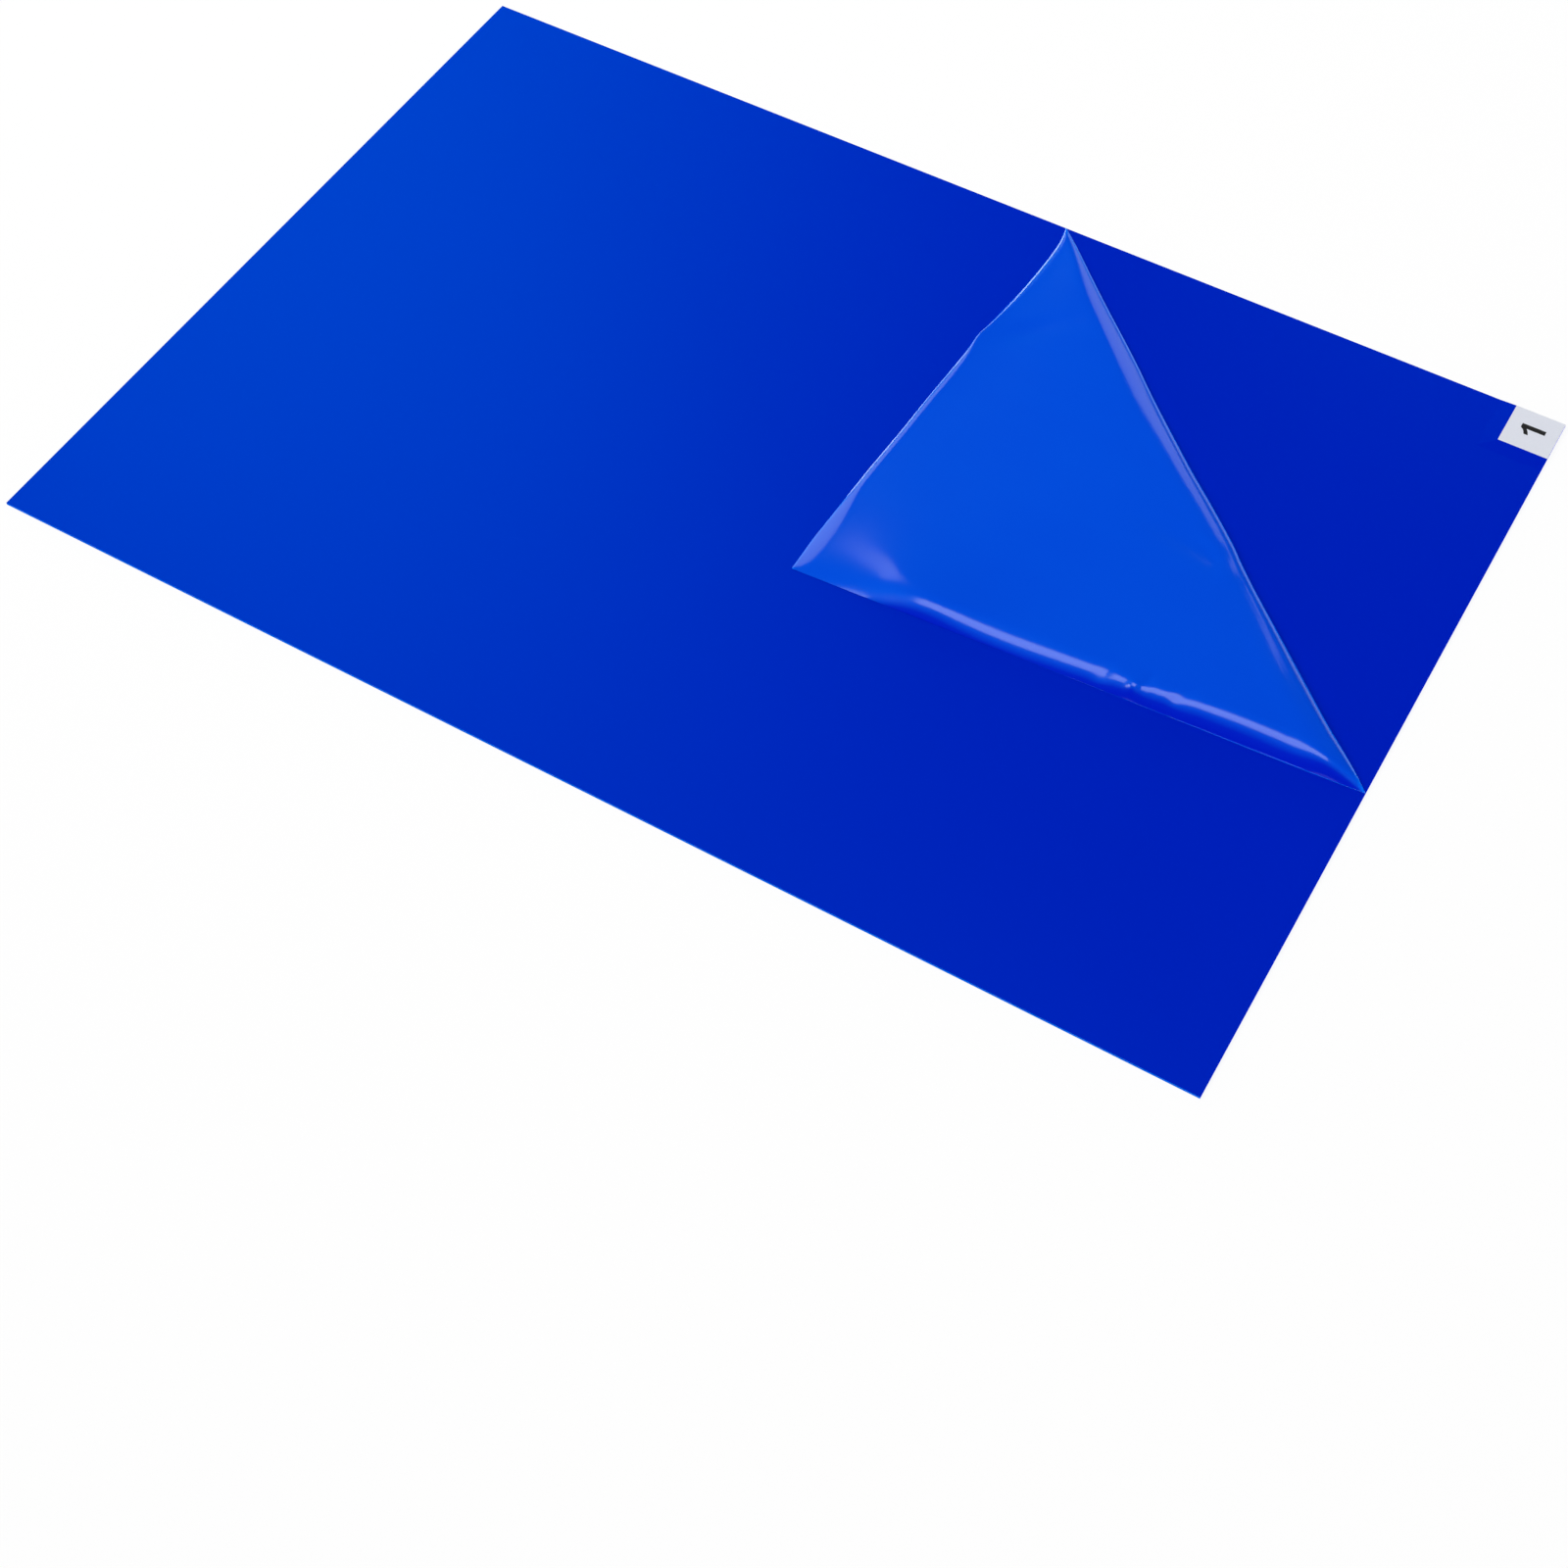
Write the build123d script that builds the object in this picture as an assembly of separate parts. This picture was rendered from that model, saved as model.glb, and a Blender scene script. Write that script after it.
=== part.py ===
from build123d import *
import math
import os

# A peel-off floor mat for a cleanroom doorway: a pad of thin numbered films on a release
# liner, under a loose cover film whose back right corner has been folded over.
# Lengths are in millimetres. X runs along the long side, Y to the back and Z up. The origin
# is the centre of the underside.

# The pad of films
mat_length = 914.4
mat_width = 609.6
sheet_count = 30
sheet_thickness = 0.06
liner_thickness = 0.1

# The square tab at the back right corner of every film, and the run of film beside it
tab_side = 37.0
tab_thickness = 0.02
tab_ramp = 12.0

# The cover film and the fold, measured from the back right corner along each side
cover_thickness = 0.05
fold_on_back_side = 398.6
fold_on_right_side = 362.0

# The tip of the folded corner, measured from the corner that it came from
tip_left = 410.1
tip_forward = 387.2

# The bend: its outer radius, how steeply the flap comes down and where it lies again
bend_radius = 4.0
flap_slope_degrees = 7.0
landing_radius = 60.0
flap_clearance = 0.3

# Worked out from the sizes above
right = mat_length / 2
back = mat_width / 2
pad_top = liner_thickness + sheet_count * sheet_thickness
fold_back_point = Vector(right - fold_on_back_side, back)
fold_right_point = Vector(right, back - fold_on_right_side)
flap_tip = Vector(right - tip_left, back - tip_forward)
above_all = pad_top + 3 * bend_radius


def tabs_below(number):
    """How many tabs lie under a sheet. Sheet 1 is the top one."""
    return sheet_count - number


def sheet_bottom(number):
    """The height of a sheet's underside, away from the tabs."""
    return liner_thickness + (sheet_count - number) * sheet_thickness


def slab(height):
    """A plain block of the mat's outline, from the floor up."""
    return Box(mat_length, mat_width, height, align=(Align.CENTER, Align.CENTER, Align.MIN))


def ridge(plane, edge, depth, level, rise):
    """A bank along one side: flat for a tab's width, then a ramp down to the level."""
    foot = edge - tab_side - tab_ramp
    crest = edge - tab_side
    outline = Polyline(
        (foot, level), (crest, level + rise), (edge, level + rise), (edge, level), close=True
    )
    return extrude(plane * make_face(outline), amount=depth / 2, both=True)


def draped_block(level, rise):
    """All that lies under a film: a slab, raised at the corner by the tabs in the pad."""
    block = slab(level)
    if rise > 0:
        right_bank = ridge(Plane.XZ, right, mat_width, level, rise)
        back_bank = ridge(Plane.YZ, back, mat_length, level, rise)
        block = block + (right_bank & back_bank)
    return block


def make_sheet(number):
    """One film with its adhesive coat. It drapes over the tabs of the films below it."""
    rise = tabs_below(number) * tab_thickness
    bottom = sheet_bottom(number)
    return draped_block(bottom + sheet_thickness, rise) - draped_block(bottom, rise)


def make_tab(number):
    """The tab on a sheet's top face, flush with the pad's back and right sides."""
    bottom = sheet_bottom(number) + sheet_thickness + tabs_below(number) * tab_thickness
    tab = Box(tab_side, tab_side, tab_thickness, align=(Align.MAX, Align.MAX, Align.MIN))
    return Pos(right, back, bottom) * tab


def film_section(path):
    """The section of the cover film, whose underside runs along the path."""
    return make_face(offset(path, amount=cover_thickness, side=Side.LEFT))


def plan_prism(points):
    """A prism on an outline seen from above, higher than the mat, to trim a film with."""
    return extrude(make_face(Polyline(*points, close=True)), amount=above_all)


def make_cover_film():
    """The cover film: flat on the pad, round the bend, and down again to the flap's tip.

    In the section plane, across is 0 at the outermost line of the bend and grows away from
    the flap, and the film's underside becomes the top of the flap.
    """
    along = (fold_right_point - fold_back_point).normalized()
    across = Vector(0, 0, 1).cross(along)
    middle = (fold_back_point + fold_right_point) / 2
    plane = Plane(origin=middle, x_dir=across, z_dir=along)
    reach = mat_length + mat_width

    centre = (-bend_radius, pad_top + bend_radius)
    slope = math.radians(flap_slope_degrees)
    lying = pad_top + 2 * cover_thickness + flap_clearance
    leaving = (
        centre[0] - bend_radius * math.sin(slope),
        centre[1] + bend_radius * math.cos(slope),
    )
    landing_drop = landing_radius * (1 - math.cos(slope))
    run = (leaving[1] - lying - landing_drop) / math.tan(slope)
    meeting = (leaving[0] - run, lying + landing_drop)
    landed = (meeting[0] - landing_radius * math.sin(slope), lying)

    lower_path = Line((-reach, pad_top), (centre[0], pad_top)) + CenterArc(
        centre, bend_radius, -90, 90
    )
    upper_path = (
        CenterArc(centre, bend_radius, 0, 90 + flap_slope_degrees)
        + Line(leaving, meeting)
        + CenterArc(
            (landed[0], lying + landing_radius),
            landing_radius,
            -90 + flap_slope_degrees,
            -flap_slope_degrees,
        )
        + Line(landed, (-reach, lying))
    )
    lower = extrude(plane * film_section(lower_path), amount=reach, both=True)
    upper = extrude(plane * film_section(upper_path), amount=reach, both=True)
    lower = lower & slab(above_all)
    upper = upper & plan_prism([fold_back_point, fold_right_point, flap_tip])
    return lower + upper


os.makedirs("parts", exist_ok=True)
export_step(slab(liner_thickness), "parts/release_liner.step")
for number in range(1, sheet_count + 1):
    export_step(make_sheet(number), f"parts/sheet_{number:02d}.step")
export_step(make_tab(1), "parts/number_tab_01.step")
lower_tabs = Compound([make_tab(number) for number in range(2, sheet_count + 1)])
export_step(lower_tabs, "parts/number_tabs_below.step")
export_step(make_cover_film(), "parts/cover_film.step")
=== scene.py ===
# %% [markdown]
# A peel-off floor mat lies flat on a pale floor: thirty thin blue films, a number tab at one
# corner of each, and a loose cover film whose back right corner is folded over. The films,
# the tabs and the liner come ready made from the CAD model. The folded cover film is modelled
# here, because its look is all in soft bends and small wrinkles that a plain solid lacks.

# %% Load the CAD model
import math

import bpy
import numpy as np
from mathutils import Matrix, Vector


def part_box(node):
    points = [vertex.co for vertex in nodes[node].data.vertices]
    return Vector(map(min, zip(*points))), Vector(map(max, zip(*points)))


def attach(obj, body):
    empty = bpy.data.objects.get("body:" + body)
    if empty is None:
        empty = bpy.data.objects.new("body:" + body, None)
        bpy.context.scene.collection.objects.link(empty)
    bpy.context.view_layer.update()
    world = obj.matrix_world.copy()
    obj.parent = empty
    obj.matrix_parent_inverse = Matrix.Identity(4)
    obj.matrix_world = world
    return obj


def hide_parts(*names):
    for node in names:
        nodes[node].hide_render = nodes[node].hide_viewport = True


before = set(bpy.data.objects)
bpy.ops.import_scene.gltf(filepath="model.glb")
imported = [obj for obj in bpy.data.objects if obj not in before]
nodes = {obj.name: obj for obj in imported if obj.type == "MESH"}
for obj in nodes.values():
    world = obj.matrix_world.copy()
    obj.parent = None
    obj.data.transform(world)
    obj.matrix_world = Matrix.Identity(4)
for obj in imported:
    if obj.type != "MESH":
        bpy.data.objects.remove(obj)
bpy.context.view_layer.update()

MM = 0.001

# %% [markdown]
# The camera comes first, so that everything after it can be judged through it. It stands in
# front of the mat and to its right, looks down steeply, and holds its horizon level. A lens
# of about 55 mm on a 36 mm sensor and a very small sideways shift give the picture's framing.

# %% Camera
CAMERA_PLACE = Vector((584.2, -954.4, 1282.9)) * MM
CAMERA_TURN = math.radians(29.95)
CAMERA_DOWN = math.radians(56.49)
LENS_MM = 54.99
SHIFT = -0.034


def look_direction(turn, down):
    """The way a camera looks that is turned left from +Y and tilted down, in radians."""
    across = math.cos(down)
    return Vector((-math.sin(turn) * across, math.cos(turn) * across, -math.sin(down)))


camera = bpy.data.objects.new("camera", bpy.data.cameras.new("camera"))
bpy.context.scene.collection.objects.link(camera)
camera.location = CAMERA_PLACE
camera.rotation_euler = look_direction(CAMERA_TURN, CAMERA_DOWN).to_track_quat("-Z", "Y").to_euler()
camera.data.lens = LENS_MM
camera.data.shift_x = SHIFT
bpy.context.scene.camera = camera

# %% [markdown]
# Two small helpers serve every material: one turns an sRGB hex colour into the linear numbers
# that a shader needs, and one adds a node with its settings and links.

# %% Helpers for materials


def linear(hex_colour):
    """An sRGB colour such as 0020B8 as linear red, green, blue and alpha."""
    parts = [int(hex_colour[i:i + 2], 16) / 255 for i in (0, 2, 4)]
    return [p / 12.92 if p <= 0.04045 else ((p + 0.055) / 1.055) ** 2.4 for p in parts] + [1.0]


def add(tree, kind, values=None, links=None, **settings):
    """Adds a node. values sets its inputs, links joins them to outputs of other nodes."""
    node = tree.nodes.new(kind)
    for name, value in settings.items():
        setattr(node, name, value)
    for name, value in (values or {}).items():
        node.inputs[name].default_value = value
    for name, output in (links or {}).items():
        tree.links.new(output, node.inputs[name])
    return node


def new_material(name):
    """An empty material, its node tree and its output node."""
    material = bpy.data.materials.new(name)
    material.use_nodes = True
    tree = material.node_tree
    tree.nodes.clear()
    return material, tree, tree.nodes.new("ShaderNodeOutputMaterial")


# %% [markdown]
# The films are blown LDPE: clear polyethylene dyed a deep blue, 0.06 mm thick. Thirty of them
# on top of each other let no light through, so the pad reads as one saturated blue. Light that
# comes back has passed through dye, also where it turns at the faces between the films, so the
# broad soft gloss is blue as well and no red is left in it. The coat stands for that dye: on
# the tacky side it mirrors nothing itself and only tints. The smooth back of the cover film
# has a clear gloss on top. Where the film stands up steeply, a deeper blue is painted in as
# shade, and on upright cut edges a paler blue is painted in as a highlight.

# %% Pattern and slope of blown film
# Blown film is thicker and thinner in patches, drawn 120 mm across. Its lines along the web are
# about a millimetre apart, too fine to show, and are drawn 25 mm apart: 40 of them to a metre
# across the web, and only 0.6 of them along it.
PATCH_MM = 120
WEB_LINES = (0.6, 40.0, 40.0)


def film_pattern(tree, coordinates):
    """Faint marks of blown film: slow thick and thin places, and lines along the web."""
    patches = add(tree, "ShaderNodeTexNoise", {"Scale": 1 / (PATCH_MM * MM), "Detail": 2.0},
                  {"Vector": coordinates})
    web = add(tree, "ShaderNodeMapping", {"Scale": WEB_LINES}, {"Vector": coordinates})
    lines = add(tree, "ShaderNodeTexNoise", {"Scale": 1.0, "Detail": 3.0}, {"Vector": web.outputs[0]})
    return add(tree, "ShaderNodeMix", {"Factor": 0.4}, {
        "A": patches.outputs["Fac"],
        "B": lines.outputs["Fac"],
    }).outputs[0]


def painted_light_by_slope(tree, upright, flat_colour, steep_colour, start, end):
    """From the steep colour at start to the flat one at end, by rise: painted shade and highlight."""
    share = add(tree, "ShaderNodeMapRange", {"From Min": start, "From Max": end}, {"Value": upright})
    return add(tree, "ShaderNodeMix", {"A": linear(steep_colour)},
               {"Factor": share.outputs[0], "B": flat_colour}, data_type="RGBA").outputs["Result"]


# %% [markdown]
# Two materials could be built apart, but the sides of the film differ only in their colours and
# their finish, so one function makes both. The tacky side is the top of thirty films, whose
# faces together mirror more than one does, so its IOR is matched at 1.6, above the 1.51 of
# polyethylene, and the adhesive makes it satin. The cover film's bare back keeps 1.51, and its
# gloss shows the lamps as lamps. Along its fold and its left edge a brighter blue is painted in
# as a highlight. An attribute on the grid of points says where.

# %% Blown film
# How far a normal points up, from 0 to 1, where one colour gives way to the next: a film tilted
# by 37 degrees or more shows its painted shade, one tilted by 18 or less its flat colour, and an
# upright cut edge a painted highlight.
STEEP_SHADE_RISE = (0.80, 0.95)
CUT_EDGE_HIGHLIGHT_RISE = (0.02, 0.1)
# The brighter blue of the painted highlight along the fold and the left edge.
PAINTED_FOLD_HIGHLIGHT = "0074FF"

TACKY_SIDE = {
    "IOR": 1.6,
    "Specular IOR Level": 1.0,
    "Specular Tint": linear("00B4FF"),
    "Roughness": 0.39,
    "Coat Tint": linear("00E0FF"),
    "Coat IOR": 1.0,
    "Coat Roughness": 0.4,
}
SMOOTH_BACK = {
    "IOR": 1.51,
    "Specular IOR Level": 0.5,
    "Specular Tint": linear("00D0FF"),
    "Roughness": 0.42,
    "Coat Tint": linear("00F0FF"),
    "Coat IOR": 1.51,
    "Coat Roughness": 0.13,
}


def film_material(name, colours, finish, painted_edge_highlight=False):
    """Dyed film: thin and thick places, painted shade where steep, painted highlight on cut edges."""
    thin, thick, steep, edge = colours
    material, tree, out = new_material(name)
    place = add(tree, "ShaderNodeTexCoord")
    pattern = film_pattern(tree, place.outputs["Object"])
    body = add(tree, "ShaderNodeMix", {"A": linear(thin), "B": linear(thick)}, {"Factor": pattern},
               data_type="RGBA")
    facing = add(tree, "ShaderNodeSeparateXYZ", None, {"Vector": place.outputs["Normal"]})
    upright = add(tree, "ShaderNodeMath", None, {0: facing.outputs["Z"]},
                  operation="ABSOLUTE").outputs[0]
    # Painted shade on steep film, and a painted highlight on upright cut edges.
    colour = painted_light_by_slope(tree, upright, body.outputs["Result"], steep, *STEEP_SHADE_RISE)
    colour = painted_light_by_slope(tree, upright, colour, edge, *CUT_EDGE_HIGHLIGHT_RISE)
    # A painted highlight along the fold and the left edge, where the grid's attribute says.
    if painted_edge_highlight:
        fold_highlight_mask = add(tree, "ShaderNodeAttribute", attribute_name="painted_edge_highlight")
        colour = add(tree, "ShaderNodeMix", {"B": linear(PAINTED_FOLD_HIGHLIGHT)},
                     {"Factor": fold_highlight_mask.outputs["Fac"], "A": colour}, data_type="RGBA").outputs["Result"]
    bump = add(tree, "ShaderNodeBump", {"Strength": 0.05, "Distance": 0.2 * MM}, {"Height": pattern})
    shader = add(tree, "ShaderNodeBsdfPrincipled", {"Coat Weight": 1.0, **finish},
                 {"Base Color": colour, "Normal": bump.outputs[0]})
    tree.links.new(shader.outputs[0], out.inputs[0])
    return material


# The last two colours of each film are its painted shade and its painted highlight.
pad_film = film_material("blown LDPE film, dyed blue", ("0013C3", "0013BF", "0011BE", "6482E4"),
                         TACKY_SIDE)
cover_back = film_material("LDPE cover film, smooth back", ("0053E6", "004AE2", "000CC8", "A0B8FF"),
                           SMOOTH_BACK, painted_edge_highlight=True)
print("film materials", pad_film.name, "and", cover_back.name)

# %% [markdown]
# The tabs are synthetic paper, a white film with a satin print coat, and the figure on the
# first is black printing ink. The liner is a siliconed polyester film, and it only shows as a
# line under the pad. A plain colour would do from afar. A fine grain of two near tones keeps
# them from looking like bare plastic from close by.

# %% Tab film, ink and liner


def plain_material(name, colour, shade, grain_mm, roughness):
    """A matt or satin material with a fine two-tone grain."""
    material, tree, out = new_material(name)
    place = add(tree, "ShaderNodeTexCoord")
    grain = add(tree, "ShaderNodeTexNoise", {"Scale": 1 / (grain_mm * MM), "Detail": 4.0},
                {"Vector": place.outputs["Object"]})
    tone = add(tree, "ShaderNodeMix", {"A": linear(colour), "B": linear(shade)},
               {"Factor": grain.outputs["Fac"]}, data_type="RGBA")
    bump = add(tree, "ShaderNodeBump", {"Strength": 0.1, "Distance": 0.05 * MM},
               {"Height": grain.outputs["Fac"]})
    shader = add(tree, "ShaderNodeBsdfPrincipled", {"Roughness": roughness, "IOR": 1.5},
                 {"Base Color": tone.outputs["Result"], "Normal": bump.outputs[0]})
    tree.links.new(shader.outputs[0], out.inputs[0])
    return material


tab_film = plain_material("synthetic paper, satin white", "E3E6F0", "DDE1EC", 1.5, 0.45)
ink = plain_material("printing ink, black", "08080A", "101012", 0.8, 0.5)
liner_film = plain_material("siliconed polyester liner", "3C5CC8", "4466D0", 2.0, 0.35)
print("plain materials", tab_film.name, "and", ink.name, "and", liner_film.name)

# %% [markdown]
# The CAD nodes keep their shapes and only get their finish. All thirty films share one
# material and all tabs another, as on the real pad, so a change reaches every sheet at once.

# %% Dress the CAD nodes


def dress(node, material):
    """Gives a CAD node its material in every slot."""
    mesh = nodes[node].data
    mesh.materials.clear()
    mesh.materials.append(material)


for node in nodes:
    if node.startswith("sheet"):
        dress(node, pad_film)
    elif node.startswith("number"):
        dress(node, tab_film)
dress("release_liner", liner_film)
print("dressed", len(nodes), "CAD nodes")

# %% [markdown]
# The cover film is one thin sheet. Flat, it is as large as the mat. Its corner is lifted, bent
# over along a line from the back side to the right side, and laid down on the film itself, so
# its back shows. A cloth simulation would drop it in folds of its own, and this film has to
# bend where the real one does, so it is made from rows of points instead: a grid whose rows
# run along the fold and go round the bend and on to the tip.

# %% Where the fold lies
# The fold meets the back side and the right side this far, in mm, from the back right corner.
TO_BACK_POINT = 398.6
TO_RIGHT_POINT = 362.0
# The tip lies this far to the left of that corner and in front of it.
TIP_LEFT = 410.1
TIP_FORWARD = 387.2
# The film's thickness, and the least air under the folded corner.
FILM = 0.05
AIR = 0.15

mat_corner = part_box("release_liner")[1]
pad_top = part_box("cover_film")[0].z / MM
right_side, back_side = mat_corner.x / MM, mat_corner.y / MM
fold_start = np.array([right_side - TO_BACK_POINT, back_side])
fold_end = np.array([right_side, back_side - TO_RIGHT_POINT])
tip = np.array([right_side - TIP_LEFT, back_side - TIP_FORWARD])
fold_length = np.linalg.norm(fold_end - fold_start)
along = (fold_end - fold_start) / fold_length
outward = np.array([-along[1], along[0]])
print("fold length", round(fold_length, 1), "mm")

# %% [markdown]
# The loose edges are nearly straight. The left one bows in under the fold's end, has a small
# nick a third of the way down, and bulges a little before the tip. The fold line itself steps
# in by a few millimetres past its middle. Each is given by a few points, joined smoothly: the
# share of the way along the edge, and how far in mm the edge lies to the right of a straight
# one, or outside it for the fold. A curve object could give them too, but a list of points is
# easier to read and to correct.

# %% Outline of the folded corner


def smooth_curve(points, at):
    """A smooth curve through points of (place, value), read at places."""
    x, y = np.array(points, float).T
    slope = np.gradient(y, x)
    at = np.clip(at, x[0], x[-1])
    i = np.clip(np.searchsorted(x, at, side="right") - 1, 0, len(x) - 2)
    step = x[i + 1] - x[i]
    t = (at - x[i]) / step
    a, b = 2 * t ** 3 - 3 * t ** 2, t ** 3 - 2 * t ** 2 + t
    return (a + 1) * y[i] - a * y[i + 1] + b * step * slope[i] + (t ** 3 - t ** 2) * step * slope[i + 1]


LEFT_EDGE = [
    (0, 0), (0.02, 2.0), (0.058, 4.1), (0.096, 4.6), (0.135, 4.6), (0.172, 4.2), (0.21, 3.5),
    (0.248, 2.3), (0.283, 1.0), (0.316, -0.5), (0.322, -0.9), (0.35, -1.6), (0.356, -1.5),
    (0.378, -0.8), (0.412, -0.7), (0.447, -0.9), (0.482, -1.2), (0.516, -1.5), (0.61, -1.6),
    (0.68, -2.2), (0.74, -2.7), (0.80, -2.7), (0.87, -2.6), (0.92, -2.6), (0.96, -2.0), (1, -1.3),
]
FOLD_LINE = [
    (0, 0), (0.042, -0.2), (0.1, -1.4), (0.155, -2.1), (0.218, -2.2), (0.283, -2.7), (0.339, -3.8),
    (0.407, -4.4), (0.476, -4.5), (0.537, -3.3), (0.59, -2.8), (0.61, -2.9), (0.635, -3.8),
    (0.665, -4.3), (0.75, -4.2), (0.83, -4.2), (0.91, -3.5), (0.976, -0.9), (1, 0),
]


def left_edge(share):
    """Points on the loose left edge, from the fold's start to the tip."""
    line = fold_start + np.outer(share, tip - fold_start)
    line[:, 0] += smooth_curve(LEFT_EDGE, share)
    return line


def lower_edge(share):
    """Points on the loose lower edge, from the fold's end to the tip."""
    return fold_end + np.outer(share, tip - fold_end)


print("left edge", len(LEFT_EDGE), "points, fold line", len(FOLD_LINE), "points")

# %% [markdown]
# Seen from the side the corner is a low pillow: it leaves the fold about half as high as it
# gets, rises, and rolls down to the pad along its loose edges. Each edge has its own roll, a
# circular arc that starts steep and ends level. Creases are shallow grooves along short lines.
# Sculpting could give such a shape, but here every part of it is a number that can be changed,
# worked out from distances: from the fold, from each loose edge and along them.

# %% Height of the folded corner, its numbers
# The height in mm of the pillow's middle, and wide bulges: centre, height and size.
PILLOW = 8.2
BULGES = [((365.0, -25.0), 2.0, 60.0), ((215.0, 110.0), 0.8, 80.0), ((131.0, -82.0), 3.7, 52.0)]

# By share of the way down the left edge: height at the edge, the distance over which the pillow
# rises from there, and the roll's width and the sine of its first tilt.
LEFT_HEIGHT = [(0, 1.4), (0.3, 1.3), (0.7, 1.3), (0.85, 1.6), (1, 1.8)]
LEFT_RISE = [(0, 34), (0.12, 46), (0.3, 80), (0.6, 135), (1, 140)]
RISE_POWER = 1.4
LEFT_REACH = [
    (0, 3.0), (0.1, 5.0), (0.2, 4.5), (0.3, 2.0), (0.335, 1.5), (0.42, 4.6), (0.6, 4.6),
    (0.74, 4.8), (0.785, 5.2), (0.835, 8.5), (0.87, 10.5), (1, 11.5),
]
LEFT_STEEP = [
    (0, 0.75), (0.1, 0.72), (0.3, 0.9), (0.34, 0.9), (0.45, 0.6), (0.7, 0.50), (0.85, 0.3),
    (1, 0.28),
]

# By place along the lower edge, in mm: the roll's width. It is wide and low at the tip, and
# pinched at 295 mm.
LOW_REACH = [
    (47, 36.0), (86, 45.0), (100, 39.0), (112, 29.5), (122, 24.0), (132, 21.0), (145, 20.0),
    (165, 21.5), (215, 21.5), (262, 19.5), (271, 19.8), (278, 17.5), (288, 14.5), (295, 10.5),
    (299, 13.5), (303, 17.6), (309, 17.2), (320, 18.2), (329, 20.0), (336, 19.0), (350, 19.8),
    (380, 20.0), (395, 20.0), (410, 17.5), (427, 12.7), (457, 7.5),
]
LOW_STEEP = 0.78

# By distance from the fold's right end: the share of its height that the film has there.
END_RISE = [(0, 0.2), (12, 0.55), (28, 0.92), (55, 1.0)]

# By distance from the fold: the same, for its upper and its lower part, and where along the
# fold, in mm, the one turns into the other. The bend itself ends FOLD_TILT short of half a turn.
ROLL_UPPER = [(0, 0.44), (0.8, 0.50), (1.6, 0.55), (2.4, 0.587), (15, 0.94), (27, 1.0)]
ROLL_LOWER = [(0, 0.58), (0.8, 0.645), (1.6, 0.70), (3, 0.78), (9, 0.96), (27, 1.0)]
ROLL_CHANGE = (170.0, 245.0)
FOLD_TILT = math.radians(32)

# Each crease: from, to, depth and width in mm. It runs out to a fifth of its depth at its end,
# and creases and waves fade out within EDGE_FADE of the left edge.
CREASES = [
    ((293, 64), (228, 73), 1.0, 8),
    ((318, 46), (364, 6), 0.7, 9),
    ((52, 170), (108, 214), 2.2, 11),
    ((295, -68), (301, -46), 1.6, 3.0),
    ((270, -62), (274, -48), 0.5, 3.5),
    ((322, -56), (332, -38), 0.6, 4.0),
]
CREASE_FADE = 0.8
EDGE_FADE = 40

# Each wave: height in mm, how many mm of X and of Y turn it by one radian, and its first turn.
WAVES = [(0.16, 34, 47, 0.0), (0.10, 21, -25, 1.3)]
# How far inside the fold and the left edge, in mm, the painted highlight reaches.
FOLD_HIGHLIGHT_MM = 1.6
EDGE_HIGHLIGHT_MM = 1.0
print("pillow", PILLOW, "mm,", len(BULGES), "bulges,", len(CREASES), "creases")

# %% [markdown]
# The height at a point is a product: the pillow with its bulges, waves and creases, times the
# three rolls that bring it down at the fold and at the two loose edges.

# %% Height of the folded corner, its functions


def arc(distance, reach, steep):
    """A roll's height, 0 at the edge and 1 at the reach. steep is the sine of its first tilt."""
    t = np.clip(distance / reach, 0, 1)
    flat = np.sqrt(1 - steep ** 2)
    return (np.sqrt(1 - (steep * (1 - t)) ** 2) - flat) / (1 - flat)


def ease(distance, reach):
    """0 at an edge, rising in an even S to 1 at the reach."""
    t = np.clip(distance / reach, 0, 1)
    return t * t * (3 - 2 * t)


def off_line(points, start, end):
    """Distance of points from the line through start and end, to its left."""
    way = (end - start) / np.linalg.norm(end - start)
    gap = points - start
    return way[0] * gap[:, 1] - way[1] * gap[:, 0]


def crease_height(points):
    """The sum of all creases at points."""
    height = np.zeros(len(points))
    for start, end, depth, width in CREASES:
        a, b = np.array(start, float), np.array(end, float)
        share = np.clip((points - a) @ (b - a) / ((b - a) @ (b - a)), 0, 1)
        gap = np.linalg.norm(points - a - np.outer(share, b - a), axis=1)
        height -= depth * np.exp(-(gap / width) ** 2) * (1 - CREASE_FADE * share)
    return height


def waves(points):
    """Slow unevenness of a film that has been handled, from two crossed waves."""
    x, y = points.T
    return sum(size * np.sin(x / by_x + y / by_y + turn) for size, by_x, by_y, turn in WAVES)


def seam_distances(points):
    """Place along the fold, distance inside it, share down the left edge, distance inside that."""
    place = (points - fold_start) @ along
    from_fold = smooth_curve(FOLD_LINE, place / fold_length) - (points - fold_start) @ outward
    down = (back_side - points[:, 1]) / (back_side - tip[1])
    return place, from_fold, down, points[:, 0] - left_edge(down)[:, 0]


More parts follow.
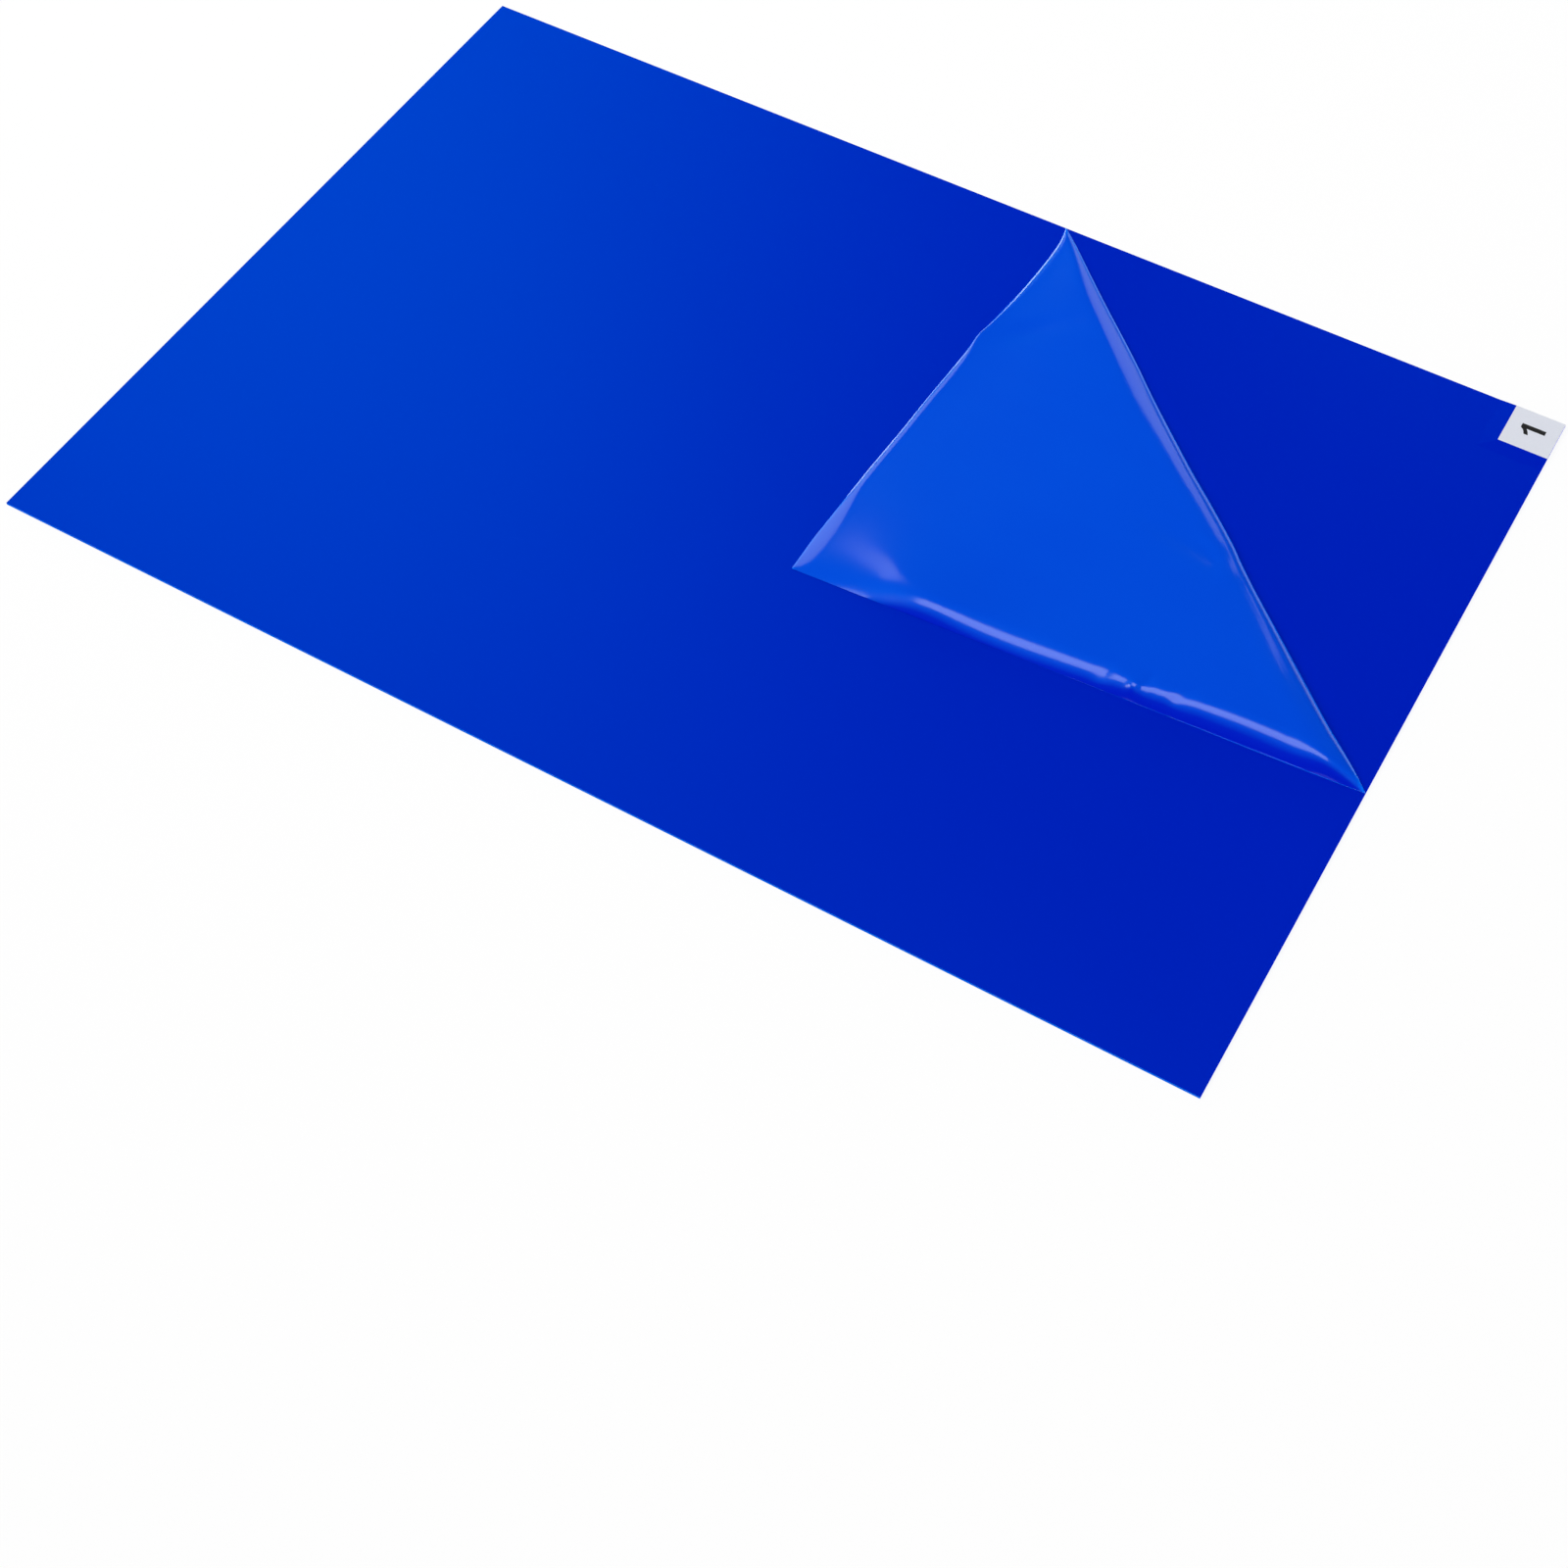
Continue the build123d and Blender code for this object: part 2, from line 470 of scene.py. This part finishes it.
def flap_height(points):
    """Height of the folded corner above the flat film."""
    place, from_fold, down, from_left = seam_distances(points)
    from_left = np.maximum(from_left, 0)
    from_low = off_line(points, tip, fold_end)
    from_end = np.linalg.norm(points - fold_end, axis=1)

    at_left = smooth_curve(LEFT_HEIGHT, down)
    rise = 1 - np.exp(-(from_left / smooth_curve(LEFT_RISE, down)) ** RISE_POWER)
    full = at_left + (PILLOW - at_left) * rise
    for centre, height, size in BULGES:
        full += height * np.exp(-(np.linalg.norm(points - centre, axis=1) / size) ** 2)
    full += (waves(points) + crease_height(points)) * ease(from_left, EDGE_FADE)
    full *= smooth_curve(END_RISE, from_end)

    low = arc(from_low, smooth_curve(LOW_REACH, points[:, 0]), LOW_STEEP)
    left = arc(from_left, smooth_curve(LEFT_REACH, down), smooth_curve(LEFT_STEEP, down))
    shift = ease(place - ROLL_CHANGE[0], ROLL_CHANGE[1] - ROLL_CHANGE[0])
    scaled = from_fold * PILLOW / np.maximum(full, 1)
    fold = (1 - shift) * smooth_curve(ROLL_UPPER, scaled) + shift * smooth_curve(ROLL_LOWER, scaled)
    return full * low * left * fold


def painted_highlight_share(points):
    """How strong the painted highlight is: 1 at the fold and the left edge."""
    _, from_fold, _, from_left = seam_distances(points)
    at_fold = np.exp(-(from_fold / FOLD_HIGHLIGHT_MM) ** 2)
    at_left = np.exp(-(from_left / EDGE_HIGHLIGHT_MM) ** 2)
    return np.clip(at_fold + at_left, 0, 1)


middle = (fold_start + fold_end + tip) / 3
print("height in the middle", round(float(flap_height(middle[None])[0]), 2), "mm")

# %% [markdown]
# A grid primitive gives the rows and columns. Every point then moves to its place: the first
# rows go round the bend, the others run parallel to the fold and shrink to the tip. Columns
# crowd towards both loose edges, where the film rolls down most sharply, and rows towards the
# fold. The fold's own small steps fade out in the rows behind it.

# %% Folded film as a grid
COLUMNS = 220
BEND_ROWS = 14
FLAP_ROWS = 170
# The share of even spacing in the columns, how strongly rows crowd, and how fast steps fade.
EVEN = 0.08
ROW_POWER = 1.5
STEP_FADE = 6


def film_rows():
    """Plan places, heights and painted highlight of all rows, from the lift-off line to the tip."""
    count = np.arange(COLUMNS) / (COLUMNS - 1)
    spread = EVEN * count + (1 - EVEN) * (0.5 - 0.5 * np.cos(np.pi * count))
    rows = []
    for row in range(FLAP_ROWS):
        share = np.full(1, (row / (FLAP_ROWS - 1)) ** ROW_POWER)
        a, b = left_edge(share)[0], lower_edge(share)[0]
        plan = a + np.outer(spread, b - a)
        step = smooth_curve(FOLD_LINE, (plan - fold_start) @ along / fold_length)
        plan = plan + np.outer(step * (1 - share[0]) ** STEP_FADE, outward)
        rows.append((plan, np.maximum(flap_height(plan), 0) + AIR, painted_highlight_share(plan)))
    top_plan, top, _ = rows[0]
    radius = top / (1 + math.cos(FOLD_TILT))
    bend = []
    for row in range(BEND_ROWS):
        turn = (math.pi - FOLD_TILT) * row / BEND_ROWS
        out = radius * (math.sin(turn) - math.sin(FOLD_TILT))
        plan = top_plan + np.outer(1, outward) * out[:, None]
        # The whole bend carries the full painted highlight.
        bend.append((plan, radius * (1 - math.cos(turn)), np.ones(COLUMNS)))
    return bend + rows


rows = film_rows()
bpy.ops.object.select_all(action="DESELECT")
bpy.ops.mesh.primitive_grid_add(x_subdivisions=COLUMNS - 1, y_subdivisions=len(rows) - 1, size=1)
cover = bpy.context.object
cover.name = "cover_film_folded"
plan = np.concatenate([r[0] for r in rows])
height = np.concatenate([r[1] for r in rows])
places = np.column_stack([plan, pad_top + FILM + height]) * MM
cover.data.vertices.foreach_set("co", places.ravel())
# Each point's share of the painted highlight along the fold and the left edge.
painted_edge_highlight = cover.data.attributes.new("painted_edge_highlight", "FLOAT", "POINT")
painted_edge_highlight.data.foreach_set("value", np.concatenate([r[2] for r in rows]))
cover.data.update()
print("film grid", len(rows), "rows of", COLUMNS, "highest", round(height.max(), 2), "mm")

# %% [markdown]
# The flat rest of the film is one level face. From the first point of the grid, where the fold
# meets the back side, a point is extruded round three corners of the mat, and a face is filled
# in between these and the grid's first row. A separate flat plate would do as well, but this
# face shares the grid's points, so no seam shows where the film lifts off. The last row, which
# has shrunk to the tip, is merged there, and the normals are turned up.

# %% Flat part of the film
# Points nearer than this, in mm, become one.
MERGE = 0.004


def open_with(piece, corners):
    """Opens a piece in edit mode with only the given corners selected, by their numbers."""
    bpy.ops.object.select_all(action="DESELECT")
    piece.select_set(True)
    bpy.context.view_layer.objects.active = piece
    bpy.ops.object.mode_set(mode="EDIT")
    bpy.ops.mesh.select_mode(type="VERT")
    bpy.ops.mesh.select_all(action="DESELECT")
    bpy.ops.object.mode_set(mode="OBJECT")
    for number in corners:
        piece.data.vertices[number].select = True
    bpy.ops.object.mode_set(mode="EDIT")


def turn_up(piece):
    """Makes all normals of an open piece agree, with that of its largest face upwards."""
    open_with(piece, [])
    bpy.ops.mesh.select_all(action="SELECT")
    bpy.ops.mesh.normals_make_consistent(inside=False)
    bpy.ops.object.mode_set(mode="OBJECT")
    if max(piece.data.polygons, key=lambda face: face.area).normal.z < 0:
        open_with(piece, [])
        bpy.ops.mesh.select_all(action="SELECT")
        bpy.ops.mesh.flip_normals()
        bpy.ops.object.mode_set(mode="OBJECT")


grid_corners = len(cover.data.vertices)
place = cover.data.vertices[0].co.copy()
open_with(cover, [0])
for x, y in [(-right_side, back_side), (-right_side, -back_side), (right_side, -back_side)]:
    step = Vector((x * MM, y * MM, place.z)) - place
    bpy.ops.mesh.extrude_vertices_move(TRANSFORM_OT_translate={"value": step})
    place += step
bpy.ops.object.mode_set(mode="OBJECT")
open_with(cover, list(range(COLUMNS)) + [grid_corners + i for i in range(3)])
bpy.ops.mesh.edge_face_add()
bpy.ops.mesh.select_all(action="SELECT")
bpy.ops.mesh.remove_doubles(threshold=MERGE * MM)
bpy.ops.object.mode_set(mode="OBJECT")
turn_up(cover)
flat = max(cover.data.polygons, key=lambda face: face.area)
mat_area = 4 * right_side * back_side * MM ** 2
print("flat part", round(flat.area, 4), "of", round(mat_area, 4), "m2, facing up", flat.normal.z > 0)

# %% [markdown]
# Extruding the whole film would thicken it in one direction only. Solidify keeps the thickness
# even round the bend, and its material offset puts the film's back on the second shell, so the
# folded corner shows the paler back and the flat part the deep blue.

# %% Thickness and finish of the cover film
# Faces that meet at a smaller angle than this are shaded as one. The cut edge meets at 90.
SMOOTH_UP_TO = math.radians(50)

cover.data.materials.append(pad_film)
cover.data.materials.append(cover_back)
thicken = cover.modifiers.new("thickness", "SOLIDIFY")
thicken.thickness = FILM * MM
thicken.offset = -1
thicken.material_offset = 1
thicken.material_offset_rim = 1
bpy.ops.object.modifier_apply(modifier=thicken.name)
bpy.ops.object.shade_smooth_by_angle(angle=SMOOTH_UP_TO)
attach(cover, "root")
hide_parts("cover_film")
print("cover film", len(cover.data.polygons), "faces")

# %% [markdown]
# The figure on the first tab is printed ink, a hundredth of a millimetre thick. It is a plain
# figure one that stands with its top towards the mat's left. A text object would take its form
# from a font, and so few corners are soon given one by one. A plane makes the lower part of
# its upright bar, the bar is extruded to its full height, and from the side of that upper part
# the short flag is extruded in three steps, each lower than the one before.

# %% Figure on the first tab
# All in mm: the bar's height and width, its height below the flag, and the ink.
FIGURE_HEIGHT = 17.8
FIGURE_STEM = 4.0
BELOW_FLAG = 13.4
INK = 0.01
# How far the foot's corner is from the tab's two outer sides.
FOOT_INSET = Vector((9.4, 17.6, 0))
# Each step of the flag: how far across, how far down, and how long its end is.
FLAG = [(1.4, 1.45, 3.5), (1.8, 1.15, 3.2), (2.2, 0.8, 3.2)]
# Corners that differ by less than this are on the same side of the bar.
NEAR = 0.1 * MM

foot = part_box("number_tab_01")[1] - FOOT_INSET * MM
bpy.ops.object.select_all(action="DESELECT")
bpy.ops.mesh.primitive_plane_add(size=1)
figure = bpy.context.object
figure.name = "figure_one"
open_with(figure, range(4))
bpy.ops.transform.resize(value=(BELOW_FLAG * MM, FIGURE_STEM * MM, 1), center_override=(0, 0, 0))
bpy.ops.transform.translate(value=foot + Vector((-BELOW_FLAG / 2, FIGURE_STEM / 2, 0)) * MM)
bpy.ops.object.mode_set(mode="OBJECT")
top = min(v.co.x for v in figure.data.vertices)
open_with(figure, [v.index for v in figure.data.vertices if v.co.x < top + NEAR])
bar_top = ((BELOW_FLAG - FIGURE_HEIGHT) * MM, 0, 0)
bpy.ops.mesh.extrude_region_move(TRANSFORM_OT_translate={"value": bar_top})
bpy.ops.object.mode_set(mode="OBJECT")
upper = [v for v in figure.data.vertices if v.co.x < top + NEAR]
open_with(figure, [v.index for v in upper if v.co.y < foot.y + NEAR])
side_middle = Vector((foot.x - (BELOW_FLAG + FIGURE_HEIGHT) / 2 * MM, foot.y, foot.z))
side = FIGURE_HEIGHT - BELOW_FLAG
for across, down, end in FLAG:
    step = Vector((down, -across, 0)) * MM
    bpy.ops.mesh.extrude_region_move(TRANSFORM_OT_translate={"value": step})
    side_middle += step
    bpy.ops.transform.resize(value=(end / side, 1, 1), center_override=side_middle)
    side = end
bpy.ops.object.mode_set(mode="OBJECT")
turn_up(figure)
figure.data.materials.append(ink)
raise_ink = figure.modifiers.new("ink", "SOLIDIFY")
raise_ink.thickness = INK * MM
raise_ink.offset = 1
bpy.ops.object.modifier_apply(modifier=raise_ink.name)
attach(figure, "root")
size = [round(s / MM, 2) for s in figure.dimensions]
print("figure one", len(figure.data.polygons), "faces", size, "mm")

# %% [markdown]
# The floor is a wide pale plane. A white world alone would show no shadow. To the camera and in
# mirrors most of the floor's light is its own, so it stays an even white, and the rest is lit,
# so the mat keeps a faint shadow on it.

# %% Floor
# The share of its light that is its own, its side in metres, and the gap that keeps its face
# apart from the liner's.
OWN_LIGHT = 0.88
FLOOR_SIZE = 30
BELOW_MAT = 0.1 * MM

bpy.ops.object.select_all(action="DESELECT")
bpy.ops.mesh.primitive_plane_add(size=FLOOR_SIZE, location=(0, 0, -BELOW_MAT))
floor = bpy.context.object
floor.name = "floor"
floor_material, tree, out = new_material("matt white floor")
matt = add(tree, "ShaderNodeBsdfPrincipled", {"Base Color": linear("FFFFFF"), "Roughness": 0.9})
glow = add(tree, "ShaderNodeEmission", {"Color": linear("FFFFFF"), "Strength": 1.0})
ray = add(tree, "ShaderNodeLightPath")
seen = add(tree, "ShaderNodeMath", None, {
    0: ray.outputs["Is Camera Ray"],
    1: ray.outputs["Is Glossy Ray"],
}, operation="ADD")
seen = add(tree, "ShaderNodeMath", None, {
    0: seen.outputs[0],
    1: ray.outputs["Is Transmission Ray"],
}, operation="ADD", use_clamp=True)
share = add(tree, "ShaderNodeMath", {1: OWN_LIGHT}, {0: seen.outputs[0]}, operation="MULTIPLY")
surface = add(tree, "ShaderNodeMixShader", None, {
    0: share.outputs[0],
    1: matt.outputs[0],
    2: glow.outputs[0],
})
tree.links.new(surface.outputs[0], out.inputs[0])
floor.data.materials.append(floor_material)
print("floor", FLOOR_SIZE, "m wide")

# %% [markdown]
# One lamp could light the mat, but smooth film mirrors its lamps, and each of its rolled edges
# needs one of its own. A broad round one behind on the left gives the pad its lighter half and
# is mirrored in the rolled left edge and near the tip. One overhead draws the bright line
# along the rolled lower edge, one behind does the same for the fold, and a low strip lights
# the sharp edge of the left side. Two wide distant ones in front give the plain light; they
# stand where the mat mirrors neither to the camera.

# %% Lamps
FAR_LAMP_WIDTH = math.radians(35)


def lamp(name, place, size, brightness, shape="RECTANGLE", aim=(0.15, 0, 0)):
    """A soft lamp with its size in metres. brightness is how bright it looks."""
    light = bpy.data.lights.new(name, "AREA")
    light.shape = shape
    light.size, light.size_y = size
    area = size[0] * size[1] * (1 if shape == "RECTANGLE" else math.pi / 4)
    light.energy = brightness * math.pi * area
    piece = bpy.data.objects.new(name, light)
    bpy.context.scene.collection.objects.link(piece)
    piece.location = place
    piece.visible_camera = False
    piece.rotation_euler = (Vector(aim) - Vector(place)).to_track_quat("-Z", "Y").to_euler()


lamp("left_back_lamp", (-2.17, 1.50, 2.09), (2.1, 2.1), 1.5, "ELLIPSE")
lamp("overhead_lamp", (-0.12, -0.21, 2.8), (1.24, 0.92), 3.1, aim=(-0.12, 0, 0))
lamp("back_strip", (-0.08, 2.85, 1.6), (0.93, 0.95), 1.25)
lamp("low_left_strip", (-2.5, 2.3, 0.5), (2.6, 0.55), 3.9)


def far_lamp(name, towards, strength):
    """A wide distant lamp that shines from the direction towards."""
    light = bpy.data.lights.new(name, "SUN")
    light.energy = strength
    light.angle = FAR_LAMP_WIDTH
    piece = bpy.data.objects.new(name, light)
    bpy.context.scene.collection.objects.link(piece)
    piece.rotation_euler = Vector(towards).to_track_quat("Z", "Y").to_euler()


far_lamp("right_front_lamp", (0.6, -0.35, 0.72), 1.45)
far_lamp("left_front_lamp", (-0.65, -0.30, 0.70), 1.45)

# %% [markdown]
# The world is what the film mirrors between the lamps: a pale band round the horizon, which
# lines the steepest rolls, under a dark ceiling that leaves the blue its depth.

# %% World
# How high a direction rises, from 0 to 1, where the pale band ends and the dark ceiling starts.
BAND_TOP = 0.2
CEILING_FROM = 0.27
CEILING = 0.01

world = bpy.data.worlds.new("studio")
bpy.context.scene.world = world
world.use_nodes = True
tree = world.node_tree
way = add(tree, "ShaderNodeTexCoord")
rise = add(tree, "ShaderNodeSeparateXYZ", None, {"Vector": way.outputs["Generated"]})
level = add(tree, "ShaderNodeMapRange", {
    "From Min": BAND_TOP,
    "From Max": CEILING_FROM,
    "To Min": 1.0,
    "To Max": CEILING,
}, {"Value": rise.outputs["Z"]})
tree.links.new(level.outputs[0], tree.nodes["Background"].inputs["Strength"])
tree.nodes["Background"].inputs["Color"].default_value = (1, 1, 1, 1)
bpy.context.scene.view_settings.view_transform = "Standard"
print("world", world.name, "band up to", BAND_TOP, "ceiling", CEILING)
